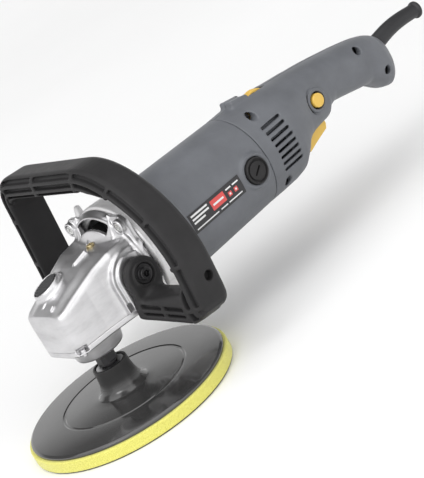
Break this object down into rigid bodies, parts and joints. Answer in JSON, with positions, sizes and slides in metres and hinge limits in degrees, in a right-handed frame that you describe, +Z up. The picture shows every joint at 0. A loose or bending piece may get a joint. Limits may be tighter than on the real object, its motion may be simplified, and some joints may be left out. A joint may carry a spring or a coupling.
{
  "type": "rotary polisher",
  "caption": "Electric rotary polisher: aluminium right-angle gear head, D-shaped front handle, grey motor body with in-line trigger handle, and a flat hook-and-loop pad.",
  "frame": {"origin": "centre of the pad's working face, on the spindle axis", "axes": "+Z up the spindle axis, +X back along the motor axis to the rear handle, -Y the side with the rating label and the lock-on button"},
  "size_m": [0.5368, 0.214, 0.1883],
  "materials": {
    "cast_aluminium": "bright fine-cast and vibratory polished",
    "bell_aluminium": "bright fine-cast",
    "bearing_steel": "ground",
    "screw_steel": "zinc plated",
    "dark_steel": "black oxide",
    "brass": "bright",
    "copper": "enamelled copper",
    "carbon": "pressed carbon",
    "grey_plastic": "fine spark-eroded texture",
    "black_plastic": "satin moulded",
    "yellow_plastic": "satin moulded",
    "gloss_plastic": "smooth glossy",
    "pad_foam": "closed-cell foam",
    "pad_hook": "dark hook fabric",
    "label": "printed film",
    "black_rubber": "satin moulded"
  },
  "bodies": {
    "tool": {"gear_case": "cast_aluminium", "bearing_plate": "cast_aluminium", "bearing_plate_screw_1": "screw_steel", "bearing_plate_screw_2": "screw_steel", "spindle_ball_bearing": "bearing_steel", "spindle_needle_bearing": "bearing_steel", "case_screw_1": "screw_steel", "case_screw_2": "screw_steel", "case_screw_3": "screw_steel", "case_screw_4": "screw_steel", "oil_screw": "brass", "intermediate_housing": "bell_aluminium", "air_baffle": "black_plastic", "front_ball_bearing": "bearing_steel", "rear_ball_bearing": "bearing_steel", "motor_housing": "grey_plastic", "field_core": "dark_steel", "field_coil_top": "copper", "field_coil_bottom": "copper", "brush_holder_left": "brass", "brush_holder_right": "brass", "carbon_brush_left": "carbon", "carbon_brush_right": "carbon", "brush_cap_left": "black_plastic", "brush_cap_right": "black_plastic", "rating_label": "label", "handle_shell_left": "grey_plastic", "handle_shell_right": "grey_plastic", "handle_screw_1": "screw_steel", "handle_screw_2": "screw_steel", "handle_screw_3": "screw_steel", "handle_screw_4": "screw_steel", "switch_module": "black_plastic", "speed_controller": "black_plastic", "cord_boot": "black_rubber", "cord_clamp": "black_plastic", "d_handle": "black_plastic", "handle_bolt_left": "dark_steel", "handle_bolt_right": "dark_steel", "spindle_lock_spring": "bearing_steel", "trigger_spring": "bearing_steel"},
    "spindle_group": {"spindle": "dark_steel", "crown_gear": "dark_steel", "backing_disc": "gloss_plastic", "hub_thread_insert": "bearing_steel", "foam_pad": "pad_foam", "hook_face": "pad_hook"},
    "armature": {"armature_shaft": "bearing_steel", "pinion_gear": "bearing_steel", "cooling_fan": "black_plastic", "armature_core": "dark_steel", "armature_winding_front": "copper", "armature_winding_rear": "copper", "commutator": "copper"},
    "spindle_lock": {"spindle_lock_button": "black_rubber", "spindle_lock_pin": "bearing_steel"},
    "trigger_lever": {"trigger": "yellow_plastic"},
    "lock_on": {"lock_on_button": "yellow_plastic"},
    "dial": {"speed_dial": "yellow_plastic"}
  },
  "joints": [
    {"name": "spindle_spin", "type": "hinge", "parent": "tool", "child": "spindle_group", "pos_m": [0, 0, 0], "axis": [0, 0, 1], "continuous": true},
    {"name": "armature_spin", "type": "hinge", "parent": "tool", "child": "armature", "pos_m": [0, 0, 0.0988], "axis": [1, 0, 0], "continuous": true},
    {"name": "spindle_lock_press", "type": "slide", "parent": "tool", "child": "spindle_lock", "axis": [0, 0, -1], "range_m": [0, 0.0033], "stiffness_N_per_m": 400, "springref_m": -0.002, "deforming": ["spindle_lock_spring"]},
    {"name": "trigger_pull", "type": "hinge", "parent": "tool", "child": "trigger_lever", "pos_m": [0.2715, 0, 0.0855], "axis": [0, -1, 0], "range_deg": [0, 8], "stiffness_Nm_per_rad": 0.4, "springref_deg": -5.73, "deforming": ["trigger_spring"]},
    {"name": "lock_on_press", "type": "slide", "parent": "tool", "child": "lock_on", "axis": [0, 1, 0], "range_m": [0, 0.003], "stiffness_N_per_m": 400, "springref_m": -0.002},
    {"name": "dial_turn", "type": "hinge", "parent": "tool", "child": "dial", "pos_m": [0.243, 0, 0.1276], "axis": [0, 1, 0], "range_deg": [-135, 135]}
  ],
  "couplings": [
    {"joint": "armature_spin", "follows": "spindle_spin", "ratio": 4}
  ]
}
